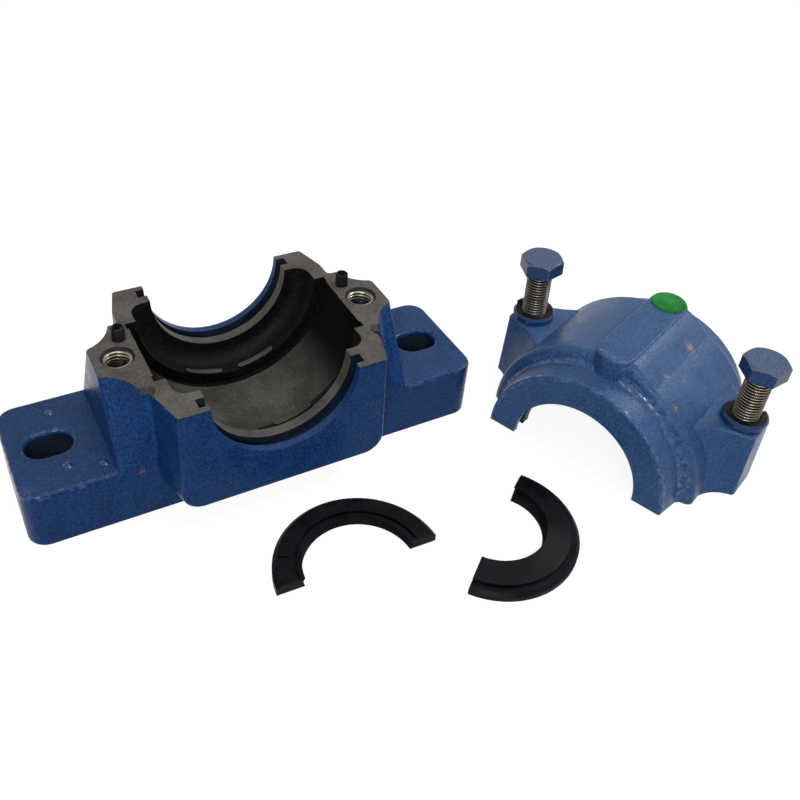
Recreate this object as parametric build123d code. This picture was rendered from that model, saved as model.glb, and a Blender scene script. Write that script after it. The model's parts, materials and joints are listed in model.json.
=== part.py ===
from build123d import *
import os
from math import acos, atan2, cos, pi, radians, sin, tan

# Split plummer block, taken apart on a bench: the base stands on its feet with its two
# spring pins in it, the cap rests beside it on its split face with the two cap bolts
# standing in their spring washers, and two half seals lie on the bench.
# Frame: origin at the centre of the base's underside, X along the feet, Y along the
# shaft axis, Z up, millimetres.

os.makedirs("parts", exist_ok=True)

# Shaft line, shared by base and cap: radii about the shaft axis, places along it
centre_height = 83.0
seat_radius = 60.0
seat_width = 44.0
relief_depth = 0.9
relief_width = 4.6
chamber_radius = 54.7
chamber_half_length = 42.0
chamber_fillet = 8.5
land_radius = 41.7
seal_groove_radius = 46.7
seal_groove_width = 6.7
inner_land_width = 6.2
body_half_length = 58.7
end_face_lean = 1.2

# Arc pads on the floor of the base's end chambers
pad_height = 1.5
pad_width = 3.8
pad_from_bottom = 7.5
pad_sweep = 22.0

# Base: foot
slot_centres = 230.0
slot_length = 25.4
slot_width = 18.0
slot_mouth = 2.6
foot_end_wall = 9.5
foot_length = slot_centres + slot_length + 2 * foot_end_wall
foot_width = 74.4
foot_height = 36.8
foot_corner = 11.0
foot_edge = 2.2

# Base: central body and its end panels
panel_half_width = 59.0
body_half_width = 64.3
shoulder_half_length = 39.5
panel_bottom = 15.7
panel_corner = 11.8
panel_edge = 2.0

# Base: pillars that carry the tapped holes
bolt_offset = 72.4
lug_end = 86.0
lug_half_width = 12.3
lug_corner = 3.0
lug_root = 69.8
lug_root_half_width = 29.0
lug_hollow = 3.2
pillar_foot_spread = 1.6
pillar_foot_half_width = 40.0
pillar_foot_root = 70.0
pillar_foot_root_half_width = 53.0
web_half_width = 28.5
pillar_sunk = 6.0
pillar_crease = 3.0
scoop_radius = 4.4
scoop_depth = 3.6
scoop_x = 66.6
scoop_y = 32.6

# Cap bolts, their tapped holes and clearance holes
thread_major = 8.0
thread_fit = 0.06
tapped_depth = 40.0
tapped_mouth = 9.2
drill_angle = 118.0
bolt_hole_radius = 9.25
bolt_length = 80.0
bolt_tip_chamfer = 1.2
thread_clearance = 0.1
head_across_flats = 24.0
head_height = 10.0
head_chamfer_angle = 30.0
bolt_turns = {"left": 20.0, "right": 14.0}
bolt_leans = {"left": 2.0, "right": 0.0}
lean_heading = 217.0

# Split spring washers under the cap bolts' heads
washer_bore = 8.7
washer_radius = 13.4
washer_thickness = 4.0
washer_edge = 1.3
washer_gap = 2.0
washer_rise = 2.2
washer_gap_headings = {"left": 186.0, "right": 52.0}

# Spring pins between base and cap
pin_x = 67.3
pin_y = 15.3
pin_radius = 3.7
pin_wall = 1.2
pin_slot = 1.4
pin_length = 20.0
pin_proud = 8.2
pin_chamfer = 0.7
pin_fit = 0.02
pin_cap_fit = 0.15
pin_hole_spare = 2.0

# Cap
cap_radius = 70.3
cap_rim = 4.5
cap_half_length = 39.5
end_ring_radius = 59.3
end_ring_root = 62.5
end_ring_fillet = 5.0
end_ring_edge = 1.2
lug_height = 45.5
lug_edge = 2.0
lug_top_end = 84.8
lug_top_root = 53.0
lug_top_hollow = 3.6
rib_half_width = 12.0
rib_end = 33.0
rib_top = 75.5
rib_edge = 1.6
rib_bottom = 55.0
flank_blend = 25.0
flank_sunk = 1.0

# Grease plug
plug_radius = 11.0
plug_thickness = 8.0
plug_proud = 1.0
plug_fit = 0.02
plug_edge = 0.6
grease_hole_radius = 4.5

# Half seals: one of plain section, and one with a pair of lips
seal_rim_radius = 46.9
seal_bevel = 2.0
flat_seal_height = 6.4
flat_seal_bore = 31.0
flat_seal_notch = 1.7
flat_seal_groove_inner = 33.6
flat_seal_groove_outer = 35.4
flat_seal_groove_depth = 1.6
flat_seal_groove_stop = 5.0
flat_seal_short = 1.5
seal_recess_size = 5.8
seal_recess_depth = 0.8
seal_recess_radius = 40.9
seal_recess_headings = (156.0, 67.0)
lip_seal_short = 0.3
lip_seal_rim_height = 4.9
seal_collar_radius = 41.3
seal_collar_height = 6.8
seal_lip_height = 9.8
seal_outer_lip = 27.8
seal_inner_lip = 26.4
seal_lip_edge = 1.0
seal_v_depth = 6.5

# Where the loose pieces lie on the bench
cap_centre = (222.0, -84.5)
cap_heading = -68.2
flat_seal_centre = (14.4, -122.0)
flat_seal_heading = -2.0
lip_seal_centre = (95.3, -131.5)
lip_seal_heading = 217.5
cap_place = Location((*cap_centre, 0), (0, 0, cap_heading))
flat_up_place = Location((*flat_seal_centre, 0), (0, 0, flat_seal_heading))
lip_up_place = Location((*lip_seal_centre, 0), (0, 0, lip_seal_heading))

# How far cuts and rough shapes run past the end faces, and how near counts as the same place
hollow_overshoot = 10.0
end_ring_overshoot = 5.0
tiny = 0.01


def revolved_about_shaft(half):
    """Solid of revolution about the Y axis, from the (radius, y) points of its +Y half."""
    outline = half + [(radius, -y) for radius, y in reversed(half)]
    return revolve(make_face(Polyline(*outline, close=True)), Axis.Y, 360)


def rings(solid, radius, place):
    """The circular edges about the shaft axis with this radius, at +place and -place."""
    circles = solid.edges().filter_by(GeomType.CIRCLE)
    same_radius = [edge for edge in circles if abs(edge.radius - radius) < tiny]
    return [edge for edge in same_radius if abs(abs(edge.arc_center.Y) - place) < tiny]


def both_sides(place):
    """The four places at +-x and +-y."""
    x, y = place
    return [(x, y), (-x, y), (-x, -y), (x, -y)]


# ---- Interior: the stepped hollow that is bored through both castings ----------------
def interior():
    """Seat, relief grooves, end chambers, seal grooves and lands, about the shaft axis."""
    seat_half = seat_width / 2
    relief_end = seat_half + relief_width
    groove_start = chamber_half_length + inner_land_width
    groove_end = groove_start + seal_groove_width
    past_face = body_half_length + hollow_overshoot
    hollow = revolved_about_shaft(
        [
            (seat_radius, seat_half),
            (seat_radius + relief_depth, seat_half),
            (seat_radius + relief_depth, relief_end),
            (chamber_radius, relief_end),
            (chamber_radius, chamber_half_length),
            (land_radius, chamber_half_length),
            (land_radius, groove_start),
            (seal_groove_radius, groove_start),
            (seal_groove_radius, groove_end),
            (land_radius, groove_end),
            (land_radius, past_face),
            (0, past_face),
        ]
    )
    return fillet(rings(hollow, chamber_radius, chamber_half_length), chamber_fillet)


def chamber_pads():
    """Low arc pads on the chamber floors, beside the relief grooves, with round ends."""
    root = chamber_radius + relief_depth
    top = chamber_radius - pad_height
    middle = (root + top) / 2
    width_place = seat_width / 2 + relief_width + pad_width / 2
    pads = []
    for place in (-width_place, width_place):
        section = Pos(middle, place) * Rectangle(root - top, pad_width)
        bar = revolve(section, Axis.Y, pad_sweep)
        stub = Pos(middle, place, 0) * Rot(0, 90, 0) * Cylinder(pad_width / 2, root - top)
        pad = bar + stub + Rot(0, pad_sweep, 0) * stub
        to_bottom = 90 - pad_sweep / 2
        turn = pad_from_bottom + pad_sweep / 2
        pads += [Rot(0, to_bottom - turn, 0) * pad, Rot(0, to_bottom + turn, 0) * pad]
    return pads


def lug_plan(corner, root, hollow):
    """Plan of the lugs on both sides: flat ends and hollow flares back to the flanks."""
    chord = Vector(*root) - Vector(*corner)
    middle = Vector(*corner) + chord * 0.5 + chord.rotate(Axis.Z, 90).normalized() * hollow
    corners = both_sides(corner)
    roots = both_sides(root)
    middles = both_sides((middle.X, middle.Y))
    outline = []
    for side in range(4):
        outline.append(ThreePointArc(corners[side], middles[side], roots[side]))
        ahead = (side + 1) % 4
        ends = roots if side % 2 == 0 else corners
        outline.append(Line(ends[side], ends[ahead]))
    plan = make_face(outline)
    sharp = [point for point in plan.vertices() if abs(abs(point.X) - corner[0]) < tiny]
    return fillet(sharp, lug_corner)


# ---- Base ----------------------------------------------------------------------------
def foot():
    """Slab with a slot at each end for a holding-down bolt, the slots' mouths rounded."""
    slab = extrude(RectangleRounded(foot_length, foot_width, foot_corner), foot_height)
    for side in (-1, 1):
        slot = extrude(SlotOverall(slot_length, slot_width), foot_height)
        slab = slab - Pos(side * slot_centres / 2, 0, 0) * slot
    top = slab.faces().sort_by(Axis.Z)[-1]
    slab = fillet([edge for wire in top.inner_wires() for edge in wire.edges()], slot_mouth)
    top = slab.faces().sort_by(Axis.Z)[-1]
    return fillet(top.outer_wire().edges(), foot_edge)


def pillars():
    """The lugs' plan, spreading downward into the foot, between faces that carry on its sides."""
    spread_corner = (lug_end + pillar_foot_spread, pillar_foot_half_width)
    spread_root = (pillar_foot_root, pillar_foot_root_half_width)
    low = lug_plan(spread_corner, spread_root, lug_hollow)
    high = lug_plan((lug_end, lug_half_width), (lug_root, lug_root_half_width), lug_hollow)
    bottom = foot_height - pillar_sunk
    spreading = loft([Plane.XY.offset(bottom) * low, Plane.XY.offset(centre_height) * high], ruled=True)
    side = foot_width / 2
    web = Polyline(
        (-side, bottom),
        (side, bottom),
        (side, foot_height),
        (web_half_width, centre_height),
        (-web_half_width, centre_height),
        (-side, foot_height),
        close=True,
    )
    return spreading & extrude(Plane.YZ * make_face(web), 2 * lug_end, both=True)


def central_body():
    """The housing's middle with its upright end panels, drafted outward downward."""
    plan = both_sides((panel_half_width, body_half_length))
    shoulders = both_sides((body_half_width, shoulder_half_length))
    outline = [shoulders[0], plan[0], plan[1], shoulders[1], shoulders[2], plan[2], plan[3], shoulders[3]]
    face = Plane.XY.offset(centre_height) * make_face(Polyline(*outline, close=True))
    height = centre_height - panel_bottom
    body = extrude(face, amount=-height, taper=-end_face_lean)
    underneath = body.faces().sort_by(Axis.Z)[0].edges()
    sides = [edge for edge in underneath if abs(edge.center().X) > panel_half_width / 2]
    body = fillet(sides, panel_corner)
    ends = [body.faces().sort_by(Axis.Y)[place] for place in (0, -1)]
    outlines = [edge for end in ends for edge in end.edges() if edge.center().Z < centre_height - tiny]
    return fillet(outlines, panel_edge)


def base_casting():
    upper = pillars() + central_body()
    creases = [
        edge
        for edge in upper.edges()
        if abs(abs(edge.center().X) - body_half_width) < pillar_crease
        and web_half_width < abs(edge.center().Y) < foot_width / 2
        and edge.bounding_box().size.Z > (centre_height - foot_height) / 2
    ]
    upper = fillet(creases, pillar_crease)
    casting = foot() + upper
    shaft = Pos(0, 0, centre_height)
    casting = casting - shaft * interior()
    for pad in chamber_pads():
        casting = casting + shaft * pad
    for side in (-1, 1):
        casting = casting - Pos(side * bolt_offset, 0, centre_height) * tapped_hole()
        casting = casting - Pos(side * pin_x, pin_y, centre_height) * pin_hole_in_base()
        casting = casting - Pos(side * scoop_x, -scoop_y, centre_height) * pry_scoop()
    return casting


def tapped_hole():
    """Hole as wide as its thread, chamfered at its mouth, with the drill's cone at the bottom."""
    radius = thread_major + thread_fit
    hole = Pos(0, 0, -tapped_depth / 2) * Cylinder(radius, tapped_depth)
    mouth_depth = tapped_mouth - radius
    mouth = Pos(0, 0, -mouth_depth / 2) * Cone(radius, tapped_mouth, mouth_depth)
    tip_depth = radius * tan(radians(90 - drill_angle / 2))
    tip = Pos(0, 0, -tapped_depth - tip_depth / 2) * Cone(0, radius, tip_depth)
    return hole + mouth + tip


def pin_hole_in_base():
    depth = pin_length - pin_proud
    return Pos(0, 0, -depth / 2) * Cylinder(pin_radius + pin_fit, depth)


def pry_scoop():
    """Half-round notch at the split, for levering the cap off its pins."""
    return Cylinder(scoop_radius, 2 * scoop_depth)


# ---- Cap -----------------------------------------------------------------------------
def cap_outside():
    """Dome with a smaller ring at each end, about the shaft axis."""
    past_face = body_half_length + end_ring_overshoot
    outside = revolved_about_shaft(
        [
            (cap_radius, cap_half_length),
            (end_ring_root, cap_half_length),
            (end_ring_radius, past_face),
            (0, past_face),
        ]
    )
    outside = fillet(rings(outside, end_ring_root, cap_half_length), end_ring_fillet)
    return fillet(rings(outside, cap_radius, cap_half_length), cap_rim)


def cap_rib():
    """Flat-topped rib along the crown, with round noses past both ends of the dome."""
    plan = Plane.XY.offset(rib_bottom) * Rot(0, 0, 90) * SlotCenterToCenter(2 * rib_end, 2 * rib_half_width)
    rib = extrude(plan, rib_top - rib_bottom)
    return fillet(rib.faces().sort_by(Axis.Z)[-1].edges(), rib_edge)


def cap_flank():
    """Swell on the +X side that runs from the rib's flat top down to the dome."""
    corner = Vector(rib_half_width, rib_top)
    turn = atan2(corner.X, corner.Y) + acos(cap_radius / corner.length)
    low = Vector(sin(turn), cos(turn)) * (cap_radius - flank_sunk)
    section = Polyline((0, rib_bottom), (0, corner.Y), (corner.X, corner.Y), (low.X, low.Y), close=True)
    swell = extrude(Plane.XZ * make_face(section), cap_half_length, both=True)
    centre = Vector(corner.X, 0, corner.Y)
    crease = [edge for edge in swell.edges() if (edge.center() - centre).length < tiny]
    swell = fillet(crease, flank_blend)
    ends = [edge for edge in swell.edges() if abs(abs(edge.center().Y) - cap_half_length) < tiny]
    outer = [edge for edge in ends if edge.center().X > tiny and edge.center().Z > low.Y]
    return fillet(outer, cap_rim)


def cap_lugs():
    """Lugs that draw in towards their tops, so that their flares die out on the dome."""
    low = lug_plan((lug_end, lug_half_width), (lug_root, lug_root_half_width), lug_hollow)
    high = lug_plan((lug_top_end, lug_half_width), (lug_top_root, lug_root_half_width), lug_top_hollow)
    lugs = loft([Plane.XY * low, Plane.XY.offset(lug_height) * high], ruled=True)
    rim = [edge for edge in lugs.faces().sort_by(Axis.Z)[-1].edges() if abs(edge.center().X) > tiny]
    return fillet(rim, lug_edge)


def cap_casting():
    casting = cap_outside() + cap_lugs() + cap_flank() + cap_rib()
    for side in (-1, 1):
        face = Plane((0, side * body_half_length, 0), x_dir=(1, 0, 0), z_dir=(0, side, 0))
        lean = face.rotated((side * end_face_lean, 0, 0))
        casting = split(casting, bisect_by=lean, keep=Keep.BOTTOM)
    casting = split(casting, bisect_by=Plane.XY, keep=Keep.TOP)
    ring_middle = (cap_half_length + body_half_length) / 2
    ring_edges = [
        edge
        for edge in casting.edges()
        if edge.length > 0.9 * pi * end_ring_radius and abs(edge.center().Y) > ring_middle
    ]
    casting = fillet(ring_edges, end_ring_edge)
    casting = casting - interior()
    for side in (-1, 1):
        bolt_hole = Cylinder(bolt_hole_radius, 3 * lug_height)
        casting = casting - Pos(side * bolt_offset, 0, 0) * bolt_hole
        pin_hole = Cylinder(pin_radius + pin_cap_fit, 2 * (pin_proud + pin_hole_spare))
        casting = casting - Pos(side * pin_x, pin_y, 0) * pin_hole
    recess_depth = plug_thickness - plug_proud
    recess = Pos(0, rib_end, rib_top - recess_depth / 2) * Cylinder(plug_radius + plug_fit, recess_depth)
    duct = Pos(0, rib_end, rib_top - rib_bottom / 2) * Cylinder(grease_hole_radius, rib_bottom)
    return casting - recess - duct


def grease_plug():
    plug = Cylinder(plug_radius, plug_thickness)
    plug = chamfer(plug.faces().sort_by(Axis.Z)[-1].edges(), plug_edge)
    return Pos(0, rib_end, rib_top + plug_proud - plug_thickness / 2) * plug


# ---- Bolts, washers, pins ------------------------------------------------------------
def cap_bolt():
    """Hexagon screw standing on its tip: axis along Z, tip at the origin."""
    radius = thread_major - thread_clearance
    shank = Pos(0, 0, bolt_length / 2) * Cylinder(radius, bolt_length)
    shank = chamfer(shank.faces().sort_by(Axis.Z)[0].edges(), bolt_tip_chamfer)
    head = extrude(RegularPolygon(head_across_flats / 2, 6, major_radius=False), head_height)
    top_radius = 0.97 * head_across_flats / 2
    base_radius = top_radius + head_height / tan(radians(head_chamfer_angle))
    crown = Pos(0, 0, head_height / 2) * Cone(base_radius, top_radius, head_height)
    return shank + Pos(0, 0, bolt_length) * (head & crown)


def lean_of(side):
    """Turns a standing bolt by its lean, towards the lean's heading in the cap's frame."""
    return Rot(0, 0, lean_heading) * Rot(0, bolt_leans[side], 0) * Rot(0, 0, -lean_heading)


def bolt_axis_point(side, height):
    """Where the bolt's axis passes at this height, in the cap's frame."""
    sign = {"left": -1, "right": 1}[side]
    drift = (height - lug_height / 2) * tan(radians(bolt_leans[side]))
    heading = radians(lean_heading)
    return Vector(sign * bolt_offset + drift * cos(heading), drift * sin(heading), height)


def standing_bolt(side):
    """The bolt in its hole in the cap, its tip's low edge on the bench."""
    tip_height = (thread_major - bolt_tip_chamfer) * sin(radians(bolt_leans[side]))
    tip = bolt_axis_point(side, tip_height)
    return Pos(*tip) * lean_of(side) * Rot(0, 0, bolt_turns[side]) * cap_bolt()


def spring_washer(side):
    """Split ring of square wire, wound so that its two ends stand apart and one stands higher."""
    middle = (washer_bore + washer_radius) / 2
    width = washer_radius - washer_bore
    turns = 1 - washer_gap / (2 * pi * middle)
    winding = Helix(washer_rise / turns, washer_rise, middle)
    start = Plane(winding @ 0, x_dir=(1, 0, 0), z_dir=winding % 0)
    wire = start * Rectangle(width, washer_thickness)
    outer_top = wire.vertices().group_by(Axis.X)[-1].sort_by(Axis.Z)[-1]
    wire = chamfer(outer_top, washer_edge)
    ring = Pos(0, 0, washer_thickness / 2) * sweep(wire, winding, is_frenet=True)
    ring = split(ring, bisect_by=Plane.XY, keep=Keep.TOP)
    seat = bolt_axis_point(side, lug_height + washer_thickness / 2)
    turn = washer_gap_headings[side] + 360 * (1 - turns) / 2
    return Pos(seat.X, seat.Y, lug_height) * Rot(0, 0, turn) * ring


def spring_pin():
    """Slotted tube rolled from sheet, chamfered at both ends, its top at the origin."""
    pin = Pos(0, 0, -pin_length / 2) * Cylinder(pin_radius, pin_length)
    pin = chamfer(pin.edges().filter_by(GeomType.CIRCLE), pin_chamfer)
    bore = Pos(0, 0, -pin_length / 2) * Cylinder(pin_radius - pin_wall, pin_length)
    slot = Pos(0, -pin_radius / 2, -pin_length / 2) * Box(pin_slot, pin_radius, pin_length)
    return pin - bore - slot


# ---- Half seals ----------------------------------------------------------------------
def half_ring(section, short):
    """Half ring about Z from (radius, z) points, cut short of the diameter by this much."""
    ring = revolve(Plane.XZ * make_face(Polyline(*section, close=True)), Axis.Z, 180)
    return split(ring, bisect_by=Plane.XZ.offset(-short), keep=Keep.BOTTOM)


def flat_half_seal():
    """Half seal of plain section, grooved along its bore, with two shallow square recesses."""
    middle = flat_seal_height / 2
    section = [
        (flat_seal_bore, 0),
        (seal_rim_radius, 0),
        (seal_rim_radius, flat_seal_height - seal_bevel),
        (seal_rim_radius - seal_bevel, flat_seal_height),
        (flat_seal_bore, flat_seal_height),
        (flat_seal_bore + flat_seal_notch, middle),
    ]
    seal = half_ring(section, flat_seal_short)
    width = flat_seal_groove_outer - flat_seal_groove_inner
    place = (flat_seal_groove_outer + flat_seal_groove_inner) / 2
    cut = Plane.XZ * Pos(place, flat_seal_height) * Rectangle(width, 2 * flat_seal_groove_depth)
    seal = seal - Rot(0, 0, flat_seal_groove_stop) * revolve(cut, Axis.Z, 180 - 2 * flat_seal_groove_stop)
    for heading in seal_recess_headings:
        recess = Box(seal_recess_size, seal_recess_size, 2 * seal_recess_depth)
        seal = seal - Rot(0, 0, heading) * Pos(seal_recess_radius, 0, flat_seal_height) * recess
    return seal


def lip_half_seal():
    """Half of a two-lip seal: a rim for the housing's groove, a collar and a pair of lips."""
    section = [
        (seal_inner_lip, 0),
        (seal_rim_radius, 0),
        (seal_rim_radius, lip_seal_rim_height - seal_bevel),
        (seal_rim_radius - seal_bevel, lip_seal_rim_height),
        (seal_collar_radius, lip_seal_rim_height),
        (seal_collar_radius, seal_collar_height),
        (seal_outer_lip, seal_lip_height),
        (seal_inner_lip + seal_v_depth, seal_lip_height / 2),
        (seal_inner_lip, seal_lip_edge),
    ]
    return half_ring(section, lip_seal_short)


parts = {
    "base_housing": base_casting(),
    "cap_housing": cap_place * cap_casting(),
    "grease_plug": cap_place * grease_plug(),
    "half_seal_flat_side_up": flat_up_place * flat_half_seal(),
    "half_seal_lip_side_up": lip_up_place * lip_half_seal(),
}
for side, sign in (("left", -1), ("right", 1)):
    parts["cap_bolt_" + side] = cap_place * standing_bolt(side)
    parts["spring_washer_" + side] = cap_place * spring_washer(side)
    pin_seat = Pos(sign * pin_x, pin_y, centre_height + pin_proud)
    parts["dowel_pin_" + side] = pin_seat * Rot(0, 0, 60 * sign) * spring_pin()

for name, shape in parts.items():
    export_step(shape, "parts/" + name + ".step")
    box = shape.bounding_box()
    print(name, round(shape.volume), [round(v, 1) for v in (*box.min, *box.max)])
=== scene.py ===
# %% [markdown]
# # A split plummer block, taken apart on a bench
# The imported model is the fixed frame: two castings, two cap bolts, two spring washers, two
# spring pins, a plug and two half seals. This notebook gives each surface its finish and
# adds what is too fine for the frame: the screw threads and small cast pips.

# %% Load the frame
import json
import math

import bmesh
import bpy
from mathutils import Matrix, Vector


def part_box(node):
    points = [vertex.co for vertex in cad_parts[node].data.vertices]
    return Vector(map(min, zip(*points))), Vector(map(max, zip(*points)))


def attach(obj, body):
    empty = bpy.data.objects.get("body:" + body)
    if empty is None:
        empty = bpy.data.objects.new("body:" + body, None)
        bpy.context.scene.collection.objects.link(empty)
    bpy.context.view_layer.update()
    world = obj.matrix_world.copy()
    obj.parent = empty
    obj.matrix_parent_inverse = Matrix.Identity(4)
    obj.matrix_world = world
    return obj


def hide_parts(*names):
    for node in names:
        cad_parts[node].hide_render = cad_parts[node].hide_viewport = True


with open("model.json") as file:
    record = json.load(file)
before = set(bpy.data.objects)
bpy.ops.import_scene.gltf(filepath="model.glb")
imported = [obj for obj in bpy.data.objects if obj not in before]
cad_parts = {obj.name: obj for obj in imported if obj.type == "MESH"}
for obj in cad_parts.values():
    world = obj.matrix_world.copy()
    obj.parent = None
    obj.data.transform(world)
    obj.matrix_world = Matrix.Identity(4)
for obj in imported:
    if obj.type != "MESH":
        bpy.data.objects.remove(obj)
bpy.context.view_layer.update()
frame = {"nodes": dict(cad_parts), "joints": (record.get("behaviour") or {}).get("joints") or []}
nodes = frame["nodes"]
mm = 0.001
print("pieces in the frame:", len(nodes))

# %% [markdown]
# ## Where things are
# Finishes follow places on the castings: the bearing seat, the chambers, the grooves. Both
# castings were bored about the shaft axis, so a point's distance from that axis and its
# place along it tell which surface it lies on. The base's axis lies at its split height, and
# the cap's lies on the bench, because the cap stands on its split face. Places along the
# shaft are counted from the middle of the seat.

# %% Sizes shared with the source
split_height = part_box("base_housing")[1].z
cap_centre = Vector((222.0, -84.5, 0.0)) * mm
cap_turn = math.radians(-68.2)
cap_axis = (-math.sin(cap_turn), math.cos(cap_turn))
seat_radius = 60.0 * mm
chamber_radius = 54.7 * mm
land_radius = 41.7 * mm
seat_half = 22.0 * mm
relief_end = 26.6 * mm
chamber_end = 42.0 * mm
inner_land_end = 48.2 * mm
groove_end = 54.9 * mm
bolt_offset = 72.4 * mm
slot_offset = 115.0 * mm
foot_top = 36.8 * mm
print("split height in mm:", round(split_height / mm, 1))


# %% [markdown]
# ## Camera
# A camera is a place, a heading and a lens. Here the camera looks down on the bench from the
# front left with a slight roll, as a person would hold it. A short lens shift keeps the
# framing without turning the camera, so upright edges keep their slant.

# %% Camera
def camera_turn(heading, dip, roll):
    """Camera-to-world rotation from a heading about Z, a dip below level and a roll."""
    reach = math.cos(dip)
    ahead = Vector((-math.sin(heading) * reach, math.cos(heading) * reach, -math.sin(dip)))
    level = Vector((math.cos(heading), math.sin(heading), 0))
    over = level.cross(ahead)
    right = math.cos(roll) * level + math.sin(roll) * over
    up = math.cos(roll) * over - math.sin(roll) * level
    return Matrix((right, up, -ahead)).transposed()


lens_data = bpy.data.cameras.new("camera")
lens_data.sensor_width = 36.0
lens_data.lens = 41.36
lens_data.shift_x = 0.025
lens_data.shift_y = -0.061
lens_data.clip_start = 0.01
camera = bpy.data.objects.new("camera", lens_data)
camera_place = Vector((-146.8, -388.4, 397.4)) * mm
turn = camera_turn(math.radians(-31.28), math.radians(38.52), math.radians(4.95))
camera.matrix_world = Matrix.Translation(camera_place) @ turn.to_4x4()
bpy.context.scene.collection.objects.link(camera)
bpy.context.scene.camera = camera
print("camera height in mm:", round(camera_place.z / mm))

# %% [markdown]
# ## Small helpers for materials
# A material is a graph of nodes. Writing every node and link out by hand is long, so one
# helper adds a node and fills its inputs: a plain value is set, and a socket is linked.


# %% Node helper
def add(tree, kind, settings=None, **inputs):
    """Adds a node. Inputs are named by their label with _ for spaces, or in_0 for a number."""
    made = tree.nodes.new(kind)
    for name, value in (settings or {}).items():
        setattr(made, name, value)
    for name, value in inputs.items():
        key = int(name[3:]) if name.startswith("in_") else name.replace("_", " ")
        socket = made.inputs[key]
        if isinstance(value, bpy.types.NodeSocket):
            tree.links.new(value, socket)
        else:
            socket.default_value = value
    return made


def rgb(red, green, blue):
    return (red, green, blue, 1.0)


print("node helper ready")

# %% [markdown]
# Each common node then gets a short name of its own, so that a material reads as a recipe.
# A mask is a number from 0 to 1 that says where an effect shows, and `steps` makes one by
# turning a range of any value into a soft ramp.


# %% Short names for common nodes
def maths(tree, operation, first, second=0.0, clamp=False):
    settings = {"operation": operation, "use_clamp": clamp}
    return add(tree, "ShaderNodeMath", settings, in_0=first, in_1=second).outputs[0]


def vector_maths(tree, operation, first, second):
    """A difference comes out as a vector, and a dot product or a distance as a number."""
    made = add(tree, "ShaderNodeVectorMath", {"operation": operation}, in_0=first, in_1=second)
    return made.outputs["Vector" if operation == "SUBTRACT" else "Value"]


def vector(tree, x, y, z=0.0):
    return add(tree, "ShaderNodeCombineXYZ", X=x, Y=y, Z=z).outputs[0]


def parts_of(tree, value):
    return add(tree, "ShaderNodeSeparateXYZ", Vector=value).outputs


def on_piece(tree):
    """The point's place on the piece, as Object, and the way its surface faces, as Normal."""
    return add(tree, "ShaderNodeTexCoord").outputs


def blend_colour(tree, share, first, second):
    made = add(tree, "ShaderNodeMix", {"data_type": "RGBA"}, in_0=share, in_6=first, in_7=second)
    return made.outputs[2]


def noise(tree, place, scale, detail=2.0, roughness=0.5):
    grain = {"Scale": scale, "Detail": detail, "Roughness": roughness}
    return add(tree, "ShaderNodeTexNoise", Vector=place, **grain).outputs["Fac"]


def steps(tree, value, low, high, start=0.0, end=1.0):
    """Maps value from low..high to start..end with soft ends."""
    soft = {"interpolation_type": "SMOOTHSTEP"}
    span = {"From_Min": low, "From_Max": high, "To_Min": start, "To_Max": end}
    return add(tree, "ShaderNodeMapRange", soft, Value=value, **span).outputs[0]


def band(tree, value, low, high, soft=0.7 * mm):
    """1 between low and high, with soft ends."""
    rise = steps(tree, value, low, low + soft)
    return maths(tree, "MULTIPLY", rise, steps(tree, value, high, high - soft))


def bump(tree, height, depth):
    return add(tree, "ShaderNodeBump", Height=height, Distance=depth).outputs[0]


print("short names ready")

# %% [markdown]
# An effect that several finishes share is a node group: a small graph with named inputs and
# outputs, built once and placed in each material with its own values. The shader itself
# stays in the material.


# %% Group and material helpers
def group(name, inputs, outputs):
    """A new node group. inputs gives name: default, and outputs the names of its numbers."""
    tree = bpy.data.node_groups.new(name, "ShaderNodeTree")
    for title, value in inputs.items():
        socket = tree.interface.new_socket(title, in_out="INPUT", socket_type="NodeSocketFloat")
        socket.default_value = value
    for title in outputs:
        tree.interface.new_socket(title, in_out="OUTPUT", socket_type="NodeSocketFloat")
    return tree, tree.nodes.new("NodeGroupInput").outputs, tree.nodes.new("NodeGroupOutput").inputs


def put_out(tree, out, **values):
    """Links each value to the group output of its name."""
    for title, value in values.items():
        tree.links.new(value, out[title])
    print("group", tree.name, "gives", list(values))


def use(tree, made_group, **inputs):
    return add(tree, "ShaderNodeGroup", {"node_tree": made_group}, **inputs).outputs


def material(name):
    """An empty material and its node tree."""
    made = bpy.data.materials.new(name)
    made.use_nodes = True
    made.node_tree.nodes.clear()
    return made, made.node_tree


def finish(tree, **inputs):
    """The Principled shader and the output."""
    shader = add(tree, "ShaderNodeBsdfPrincipled", **inputs)
    target = tree.nodes.new("ShaderNodeOutputMaterial")
    tree.links.new(shader.outputs[0], target.inputs["Surface"])


print("group and material helpers ready")

# %% [markdown]
# ## Effects that several finishes share
# Foundry iron keeps the grain of its sand mould, and thick machinery paint over it dries in
# small soft pebbles. One group makes that skin: a fine pebble and a broad unevenness, sized
# in millimetres. It could be sculpted, but the pebbles are only a millimetre or two wide, so
# a height for a Bump node is the lighter way. Noise places use the Object coordinates, so
# the grain stays on the piece.

# %% Cast skin group
skin_inputs = {"Pebble Size": 1.1, "Broad Size": 9.0, "Broad Share": 0.35}
skin, put, out = group("cast_skin", skin_inputs, ["Height", "Mottle"])
place = on_piece(skin)["Object"]
pebble_scale = maths(skin, "DIVIDE", 1000.0, put["Pebble Size"])
broad_scale = maths(skin, "DIVIDE", 1000.0, put["Broad Size"])
pebble = noise(skin, place, pebble_scale, detail=2.5, roughness=0.55)
broad = noise(skin, place, broad_scale, detail=3.0)
broad_part = maths(skin, "MULTIPLY", broad, put["Broad Share"])
put_out(skin, out, Height=maths(skin, "ADD", pebble, broad_part), Mottle=broad)

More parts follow.
